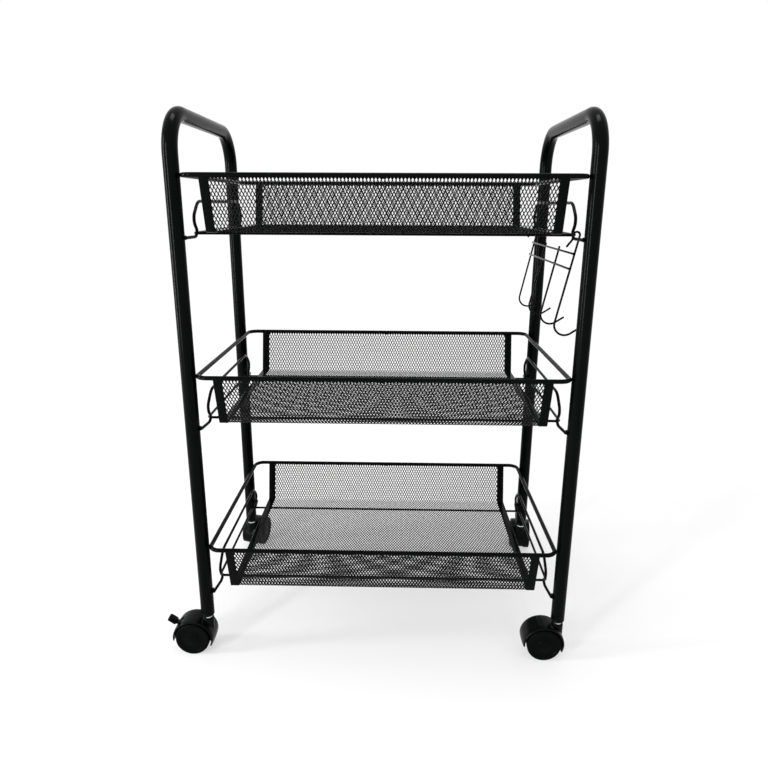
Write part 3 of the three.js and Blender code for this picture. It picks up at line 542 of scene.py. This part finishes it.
def expanded_sheet(rim_z):
    """Front and back half of the expanded steel sheet, on a lattice of half pitches. Lattice points with an
    odd sum are knuckles and those with an even sum are openings; each opening is a diamond hole drawn in
    from its four knuckles by half a strand, one edge raised and the other sunk as the slit sheet twists.
    The border row, which the rim wire and the edge strips cover, is filled."""
    length = fold_reach(fold_path(rim_z)[0])[-1]
    columns = 2 * round(2 * SHEET_END_X / (sizes().mesh_width / MM))
    rows = 2 * round(length / (sizes().mesh_length / MM))
    px, ps = 2 * SHEET_END_X / columns, length / rows
    share = 1 - sizes().mesh_strand / MM / 2 / (px * ps / math.hypot(px, ps))
    m, n = np.meshgrid(np.arange(columns + 1), np.arange(rows + 1), indexing="ij")
    edge = (m == 0) | (m == columns) | (n == 0) | (n == rows)
    even = (m + n) % 2 == 0
    hole = even & ~edge
    index = np.full(m.shape, -1)
    index[~hole] = np.arange((~hole).sum())
    knuckles, holes = (~hole).sum(), hole.sum()
    hm, hn = m[hole], n[hole]
    step = np.array([(1, 0), (0, 1), (-1, 0), (0, -1)])
    flat_m = np.concatenate([m[~hole], (hm[:, None] + share * step[:, 0]).ravel()])
    flat_n = np.concatenate([n[~hole], (hn[:, None] + share * step[:, 1]).ravel()])
    relief = np.concatenate([np.zeros(knuckles), np.tile(SHEET_TWIST * step[:, 1], holes)])
    x, s = -SHEET_END_X + flat_m * px, flat_n * ps
    upper = along_fold(rim_z, x, s, relief + SHEET_HALF_THICK)
    lower = along_fold(rim_z, x, s, relief - SHEET_HALF_THICK)
    outer = np.stack([index[hm + dm, hn + dn] for dm, dn in step], 1)
    inner = knuckles + np.arange(holes)[:, None] * 4 + np.arange(4)
    strands = np.stack([outer, np.roll(outer, -1, 1), np.roll(inner, -1, 1), inner], -1)
    em, en = m[edge & even], n[edge & even]
    fills, fill_rows = [], []
    for k in range(4):
        am, an = em + step[k][0], en + step[k][1]
        bm, bn = em + step[(k + 1) % 4][0], en + step[(k + 1) % 4][1]
        ok = (np.minimum(am, bm) >= 0) & (np.maximum(am, bm) <= columns)
        ok &= (np.minimum(an, bn) >= 0) & (np.maximum(an, bn) <= rows)
        fills.append(np.stack([index[em[ok], en[ok]], index[am[ok], an[ok]], index[bm[ok], bn[ok]]], 1))
        fill_rows.append(en[ok])
    fills, fill_rows = np.concatenate(fills), np.concatenate(fill_rows)
    front, front_fill = hn < rows / 2, fill_rows < rows / 2
    return [plate(upper, lower, strands[part].reshape(-1, 4), fills[part_fill])
            for part, part_fill in ((front, front_fill), (~front, ~front_fill))]


class CART_OT_trays(Operator):
    """Trays: rim wire, folded expanded sheet with edge strips and tacks, and the wire base under the floor"""
    bl_idname = "cart.trays"
    bl_label = "Trays"

    def execute(self, context):
        rim_r, base_r = sizes().rim_wire / 2 / MM, sizes().base_wire / 2 / MM
        square = np.array([(-1, -1), (1, -1), (1, 1), (-1, 1)])

        def rectangle(x, y, level, bend, radius, sides):
            """A closed wire round a rectangle with half sides x and y at one level."""
            corners = np.column_stack([square * [x, y], np.full(4, level)])
            return wire(corners, [bend] * 4, [CORNER_STEPS] * 4, radius, Z_AXIS, sides, closed=True)

        for tray, z in TRAYS.items():
            body = f"{tray}_tray"
            rim = rectangle(RIM_X, RIM_Y, z, RIM_BEND, rim_r, RIM_SIDES)
            make_piece(f"{tray}_rim_wire", rim, coat_paint(), body, [f"{body}_rim"])
            base = rectangle(BASE_X, BASE_Y, z - BASE_DROP, BASE_BEND, base_r, WIRE_SIDES)
            make_piece(f"{tray}_base_rectangle", base, coat_paint(), body, [f"{body}_base_wire"])
            front, back = expanded_sheet(z)
            make_piece(f"{tray}_front_sheet", front, mesh_paint(), body,
                       [f"{body}_front_net", f"{body}_floor_net"], SHEET_SHARP_EDGE)
            make_piece(f"{tray}_back_sheet", back, mesh_paint(), body,
                       [f"{body}_back_net"], SHEET_SHARP_EDGE)
            points, tangents = fold_path(z)
            for end, x in (("left", -STRIP_X), ("right", STRIP_X)):
                section = rounded_bar(STRIP_WIDTH, STRIP_THICK, STRIP_EDGE)
                strip = swept(points + [x, 0, 0], tangents, section, X_AXIS)
                make_piece(f"{tray}_{end}_edge_strip", strip, coat_paint(), body, [f"{body}_{end}_strip"])
            tacks = [ellipsoid((x, side * RIM_Y, z - TACK_DROP), TACK, TACK_SIDES, TACK_RINGS)
                     for side in (-1, 1) for x in (-STRIP_X, 0.0, STRIP_X)]
            make_piece(f"{tray}_sheet_tacks", joined(tacks), coat_paint(), body)
        return {"FINISHED"}


class CART_OT_hook_rack(Operator):
    """Wire rack with J hooks that hangs on the feet of the top right rung"""
    bl_idname = "cart.hook_rack"
    bl_label = "Hook rack"

    def execute(self, context):
        radius, rung_r = sizes().rack_wire / 2 / MM, sizes().rung_wire / 2 / MM
        hang = rung_r + RACK_GAP + radius
        setback = HOOK_BEND * math.tan(HOOK_TURN / 2)
        low = HOOK_DROP - setback
        tip = (setback + HOOK_TIP) * math.sin(math.pi - HOOK_TURN)
        stems = np.linspace(-RACK_STEM_Y, RACK_STEM_Y, RACK_STEMS)
        parts = []
        for i, y in enumerate(stems):
            hook = [(hang, y, low), (hang + tip, y, low + tip)]
            if i in (0, RACK_STEMS - 1):
                top = [(-hang - RACK_FLARE, y, RACK_END_DROP), (-hang, y, -rung_r),
                       (-hang, y, RACK_LOOP_RISE), (hang, y, RACK_LOOP_RISE)]
                bends = [0, RACK_END_BEND, hang, hang, HOOK_BEND, 0]
                steps = [0, END_STEPS, LOOP_STEPS, LOOP_STEPS, HOOK_STEPS, 0]
            else:
                top = [(hang, y, RACK_INNER_TOP)]
                bends, steps = [0, HOOK_BEND, 0], [0, HOOK_STEPS, 0]
            parts.append(wire(top + hook, bends, steps, radius, Y_AXIS, RACK_SIDES))
        bar_x = hang - 2 * radius + RACK_WELD
        bar_end = RACK_STEM_Y + RACK_BAR_PAST
        for drop in RACK_BARS:
            bar = [(bar_x, -bar_end, drop), (bar_x, bar_end, drop)]
            parts.append(wire(bar, [0, 0], [0, 0], radius, X_AXIS, RACK_SIDES))
            for y in stems:
                parts.append(ellipsoid((bar_x + RACK_BEAD[0], y, drop), RACK_BEAD, TACK_SIDES,
                                       RACK_BEAD_RINGS))
        points, faces = joined(parts)
        c, s = math.cos(RACK_LEAN), math.sin(RACK_LEAN)
        points = points @ np.array([(c, 0, s), (0, 1, 0), (-s, 0, c)]).T
        points += [RACK_HANG_X, 0, TRAYS["top"] - RUNG_DROP]
        make_piece("hook_rack_wires", (points, faces), coat_paint(), "hook_rack", ["hook_rack"])
        return {"FINISHED"}


def hood_shell(start, end, low_y, high_y, steps):
    """Part of the hood's barrel: a thin closed profile across the hood turned about the axle from one angle
    to the other and stretched along X. The outside radius falls by the cube of the distance from the middle
    plane and rounds over at the side rims."""
    y = np.linspace(low_y, high_y, HOOD_PROFILE)
    t = np.abs(y) / HOOD_HALF
    rim = np.clip((t - HOOD_RIM_START) / (1 - HOOD_RIM_START), 0, 1)
    outer = np.stack([HOOD_RADIUS - HOOD_SWELL * (t ** 3 + 1 - np.sqrt(1 - rim ** 2)), y], 1)
    inner = np.stack([np.full(len(y), HOOD_INNER), y], 1)[::-1]
    loop = np.concatenate([outer, inner])
    angle = np.radians(np.linspace(start, end, steps + 1))[:, None]
    r, across = loop[:, 0], loop[:, 1]
    rings = np.stack([HOOD_STRETCH * np.cos(angle) * r, 0 * angle + across, np.sin(angle) * r], -1)
    sides, k = len(loop), np.arange(len(y) - 1)
    cap = np.stack([k, k + 1, sides - 2 - k, sides - 1 - k], 1)
    return rings.reshape(-1, 3), [grid_faces(steps + 1, sides), cap[:, ::-1], cap + steps * sides]


def slab(outline, low_y, high_y, edge=WEB_EDGE):
    """A flat outline in the XZ plane given a thickness along Y, its rims drawn in by a small edge."""
    outline = np.asarray(outline, float)
    centre = outline.mean(0)
    reach = np.linalg.norm(outline - centre, axis=1, keepdims=True)
    drawn = centre + (outline - centre) * (1 - edge / reach)
    layers = ((drawn, low_y), (outline, low_y + edge), (outline, high_y - edge), (drawn, high_y))
    rings = np.stack([np.column_stack([o[:, 0], np.full(len(o), y), o[:, 1]]) for o, y in layers])
    return rings.reshape(-1, 3), capped(4, len(outline))


def hood_arc(start, end, count):
    """Arc of points a little outside the hood's inner face, so that a web reaches into the shell; it is
    stretched along X as the hood is."""
    angle = np.radians(np.linspace(start, end, count))
    return (HOOD_INNER + WEB_SINK) * np.stack([HOOD_STRETCH * np.cos(angle), np.sin(angle)], 1)


class CART_OT_casters(Operator):
    """Hooded casters: leg plug, bright stem and collar, barrel hood, wheels and brake lever"""
    bl_idname = "cart.casters"
    bl_label = "Casters"

    # Turned profiles of (radius, height) in mm; those of wheel and pin run across, from the middle plane
    PLUG = ((0, 64.9), (3.8, 64.9), (3.8, 47.0), (4.1, 46.5), (6.0, 46.4), (7.0, 46.7), (7.7, 47.4),
            (8.0, 48.4), (8.0, 49.9), (7.7, 50.3), (6.5, 50.3), (6.5, 68.6), (0, 68.6))
    STEM = ((0, 27.0), (3.3, 27.0), (3.5, 27.2), (3.5, 43.6), (5.0, 43.6), (5.4, 43.9), (5.5, 44.4),
            (5.5, 45.3), (5.4, 45.8), (5.0, 46.1), (3.5, 46.1), (3.5, 64.1), (3.2, 64.4), (0, 64.4))
    BOSS = ((0, 24.0), (7.0, 24.0), (7.0, 42.3), (6.8, 42.9), (6.3, 43.3), (4.1, 43.3), (3.8, 43.0),
            (3.8, 26.7), (0, 26.7))
    WHEEL = ((0, 15.0), (6.6, 15.0), (7.2, 14.8), (7.5, 14.3), (7.8, 14.2), (15.4, 14.2), (15.8, 14.3),
             (16.1, 14.8), (16.7, 15.0), (19.1, 15.0), (19.7, 14.85), (20.2, 14.4), (20.4, 13.7), (20.4, 6.9),
             (20.2, 6.3), (19.7, 6.0), (3.1, 6.0), (2.8, 6.3), (2.8, 12.8), (0, 12.8))
    LEVER_PIN = ((0, -4.8), (1.5, -4.8), (1.8, -4.5), (1.8, 4.5), (1.5, 4.8), (0, 4.8))

    def execute(self, context):
        for name, (sx, sy, turn, braked) in CASTERS.items():
            leg = np.array([sx * LEG_X, sy * LEG_Y, 0])
            c, s = math.cos(math.radians(turn)), math.sin(math.radians(turn))
            spin = np.array([(c, -s, 0), (s, c, 0), (0, 0, 1)])

            def at_axle(surface):
                """Carries a surface from the axle's own axes to its leg: out along the trail, then turned
                about the stem."""
                points, faces = surface
                return (points + [TRAIL, 0, AXLE_Z]) @ spin.T + leg, faces

            make_piece(f"{name}_plug", moved(turned(self.PLUG, STEM_SIDES), leg), hood_plastic(), "frame",
                       [f"{name}_leg_plug"])
            make_piece(f"{name}_stem", moved(turned(self.STEM, STEM_SIDES), leg), zinc_plate(), "frame",
                       [f"{name}_caster_stem"])
            make_piece(f"{name}_hood", at_axle(self.hood(braked)), hood_plastic(), f"{name}_caster",
                       [f"{name}_caster_hood"])
            for letter, side in (("a", 1), ("b", -1)):
                points, faces = turned(self.WHEEL, WHEEL_SIDES, "y")
                roller = at_axle((points * [1, side, 1], faces))
                make_piece(f"{name}_roller_{letter}", roller, wheel_plastic(), f"{name}_wheel_{letter}",
                           [f"{name}_wheel_{letter}"])
            if braked:
                lever = at_axle(self.brake_lever())
                make_piece(f"{name}_lever", lever, hood_plastic(), f"{name}_brake_lever",
                           [f"{name}_brake_lever"])
        for node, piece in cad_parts.items():
            if node.endswith("_axle"):
                piece.data.materials.clear()
                piece.data.materials.append(zinc_plate())
        return {"FINISHED"}

    def hood(self, braked):
        """Barrel shell over both wheels, a web between them and the boss that turns on the stem. A braked
        hood leaves a slot in shell and web for the lever."""
        half, web, slot = HOOD_HALF, HOOD_WEB_HALF, HOOD_SLOT_HALF
        boss = moved(turned(self.BOSS, STEM_SIDES), [-TRAIL, 0, -AXLE_Z])
        full = hood_arc(HOOD_START, HOOD_END, count=64)
        if not braked:
            shell = hood_shell(HOOD_START, HOOD_END, -half, half, steps=72)
            return joined([shell, slab(full, -web, web), boss])
        behind = hood_arc(SLOT_END + SLOT_MARGIN, HOOD_END, count=48)
        below = hood_arc(HOOD_START, SLOT_START, count=10)
        middle = np.concatenate([below, [(behind[0, 0], below[-1, 1])], behind])
        return joined([hood_shell(HOOD_START, SLOT_START, -half, half, steps=12),
                       hood_shell(SLOT_START, SLOT_END, -half, -slot, steps=12),
                       hood_shell(SLOT_START, SLOT_END, slot, half, steps=12),
                       hood_shell(SLOT_END, HOOD_END, -half, half, steps=52),
                       slab(full, -web, -slot), slab(full, slot, web), slab(middle, -slot, slot), boss])

    def brake_lever(self):
        """Cross pin, neck through the hood's slot, and a paddle that rises outward: a rounded square whose
        rims are drawn in at top and bottom, with three grip ribs."""
        c, s = math.cos(PADDLE_RISE), math.sin(PADDLE_RISE)
        pin = turned(self.LEVER_PIN, PIN_SIDES, "y")
        under = PADDLE_THICK * np.array([s, -c])
        start = np.array([PADDLE_X, PADDLE_Z])
        t = NECK_HALF_THICK
        neck = slab([(LEVER_X - t, LEVER_Z - t), (LEVER_X + t, LEVER_Z - t), start + under * NECK_LOW,
                     start + under * NECK_TOE, start + under * NECK_HIGH, (LEVER_X - t, LEVER_Z + t)],
                    -NECK_HALF_WIDTH, NECK_HALF_WIDTH, NECK_EDGE)
        outline = rounded_bar(PADDLE_LENGTH, PADDLE_WIDTH, PADDLE_CORNER, PADDLE_STEPS)
        edge = np.array(PADDLE_EDGE)
        levels = np.concatenate([edge - [PADDLE_THICK, 0], edge[::-1] * [-1, 1]])
        rings = np.concatenate([np.column_stack([outline * grow, np.full(len(outline), h)])
                                for h, grow in levels])
        ribs = [swept(np.array([(x, -RIB_HALF, -RIB_SINK), (x, RIB_HALF, -RIB_SINK)]),
                      np.repeat(Y_AXIS[None], 2, 0), circle(RIB_RADIUS, RIB_SIDES), Z_AXIS)
                for x in (-RIB_PITCH, 0.0, RIB_PITCH)]
        points, faces = joined([(rings, capped(len(levels), len(outline)))] + ribs)
        points = points @ np.array([(c, 0, -s), (0, 1, 0), (s, 0, c)]).T
        middle = start + PADDLE_LENGTH / 2 * np.array([c, s])
        return joined([moved(pin, [LEVER_X, 0, LEVER_Z]), neck,
                       moved((points, faces), [middle[0], 0, middle[1]])])


class CART_OT_stage(Operator):
    """Pale floor, soft studio lamps, white surround and the camera"""
    bl_idname = "cart.stage"
    bl_label = "Stage"

    def execute(self, context):
        scene = context.scene
        scene.view_settings.view_transform = "Standard"
        mesh = bpy.data.meshes.new("pale_floor")
        far = FLOOR_HALF
        mesh.from_pydata([(-far, -far, 0), (far, -far, 0), (far, far, 0), (-far, far, 0)], [], [(0, 1, 2, 3)])
        floor = bpy.data.objects.new("pale_floor", mesh)
        scene.collection.objects.link(floor)
        mesh.materials.append(self.floor_paint())
        self.surround(scene)
        for name, (place, aim, width, height, power) in LAMPS.items():
            lamp = bpy.data.lights.new(f"{name}_softbox", "AREA")
            lamp.shape = "RECTANGLE"
            lamp.size = width
            lamp.size_y = height
            lamp.energy = power
            box = bpy.data.objects.new(f"{name}_softbox", lamp)
            away = np.subtract(place, aim)
            away = away / np.linalg.norm(away)
            right = np.cross(Z_AXIS, away)
            right /= np.linalg.norm(right)
            box.matrix_world = Matrix(np.block([
                [np.column_stack([right, np.cross(away, right), away]), np.array(place)[:, None]],
                [np.array([[0, 0, 0, 1]])]]).tolist())
            scene.collection.objects.link(box)
        self.camera(scene)
        return {"FINISHED"}

    def seen_directly(self, tree):
        """1 for rays from the camera and for those that a mirror or a clear surface sends on, else 0."""
        path = add_node(tree, "ShaderNodeLightPath")
        seen = add_node(tree, "ShaderNodeMath", {"operation": "MAXIMUM"}, i0=path.outputs["Is Camera Ray"],
                        i1=path.outputs["Is Glossy Ray"])
        return add_node(tree, "ShaderNodeMath", {"operation": "MAXIMUM"}, i0=seen.outputs[0],
                        i1=path.outputs["Is Transmission Ray"]).outputs[0]

    def floor_paint(self):
        """Matt paper that keeps the shadow, lifted to white where rays see it directly, the more so further
        out, where the lamps reach it less."""
        material, tree, place = new_material("PaperWhiteMatt")
        if tree is None:
            return material
        reach = add_node(tree, "ShaderNodeVectorMath", {"operation": "LENGTH"}, i0=place)
        glow = add_node(tree, "ShaderNodeMapRange", {"interpolation_type": "SMOOTHSTEP"},
                        Value=reach.outputs["Value"], From_Min=GLOW_NEAR, From_Max=GLOW_FAR,
                        To_Min=GLOW_LEAST, To_Max=GLOW_MOST)
        lift = add_node(tree, "ShaderNodeMath", {"operation": "MULTIPLY"}, i0=self.seen_directly(tree),
                        i1=glow.outputs["Result"])
        paper = add_node(tree, "ShaderNodeBsdfDiffuse", None, Color=tuple(colours().floor))
        shine = add_node(tree, "ShaderNodeEmission", None, Color=(1, 1, 1, 1), Strength=lift.outputs[0])
        both = add_node(tree, "ShaderNodeAddShader", None, i0=paper.outputs[0], i1=shine.outputs[0])
        add_node(tree, "ShaderNodeOutputMaterial", None, Surface=both.outputs[0])
        return material

    def surround(self, scene):
        """White studio: plain light on the object, white where rays see it directly."""
        world = bpy.data.worlds.new("white_studio")
        world.use_nodes = True
        tree = world.node_tree
        tree.nodes.clear()
        power = add_node(tree, "ShaderNodeMapRange", None, Value=self.seen_directly(tree),
                         To_Min=WORLD_LIGHT, To_Max=WORLD_SEEN)
        light = add_node(tree, "ShaderNodeBackground", None, Color=(1, 1, 1, 1),
                         Strength=power.outputs["Result"])
        add_node(tree, "ShaderNodeOutputWorld", None, Surface=light.outputs[0])
        scene.world = world

    def camera(self, scene):
        """Camera at the photograph's place, set by its right, down and forward directions."""
        lens = bpy.data.cameras.new("front_camera")
        lens.sensor_width = SENSOR_WIDTH
        lens.lens = SENSOR_WIDTH * FOCAL_LENGTH / PICTURE_WIDTH
        lens.clip_start = NEAREST
        view = bpy.data.objects.new("front_camera", lens)
        right, down, ahead, place = np.array([CAMERA_RIGHT, CAMERA_DOWN, CAMERA_AHEAD, CAMERA_PLACE])
        view.matrix_world = Matrix(np.block([
            [np.column_stack([right, -down, -ahead]), place[:, None]], [np.array([[0, 0, 0, 1]])]]).tolist())
        scene.collection.objects.link(view)
        scene.camera = view


class CART_PT_panel(Panel):
    bl_label = "Mesh tray cart"
    bl_idname = "CART_PT_panel"
    bl_space_type = "VIEW_3D"
    bl_region_type = "UI"
    bl_category = "Cart"

    def draw(self, context):
        for step in STEPS:
            self.layout.operator(step.bl_idname)
        for group in (context.scene.cart_sizes, context.scene.cart_colours):
            for key in group.__annotations__:
                self.layout.prop(group, key)


STEPS = (CART_OT_stage, CART_OT_side_frames, CART_OT_rungs, CART_OT_trays, CART_OT_hook_rack, CART_OT_casters)
CLASSES = (CartSizes, CartColours, *STEPS, CART_PT_panel)


def register():
    for cls in CLASSES:
        bpy.utils.register_class(cls)
    bpy.types.Scene.cart_sizes = PointerProperty(type=CartSizes)
    bpy.types.Scene.cart_colours = PointerProperty(type=CartColours)


def unregister():
    del bpy.types.Scene.cart_colours
    del bpy.types.Scene.cart_sizes
    for cls in reversed(CLASSES):
        bpy.utils.unregister_class(cls)


def main():
    register()
    bpy.ops.cart.stage()
    bpy.ops.cart.side_frames()
    bpy.ops.cart.rungs()
    bpy.ops.cart.trays()
    bpy.ops.cart.hook_rack()
    bpy.ops.cart.casters()


if __name__ == "__main__":
    main()
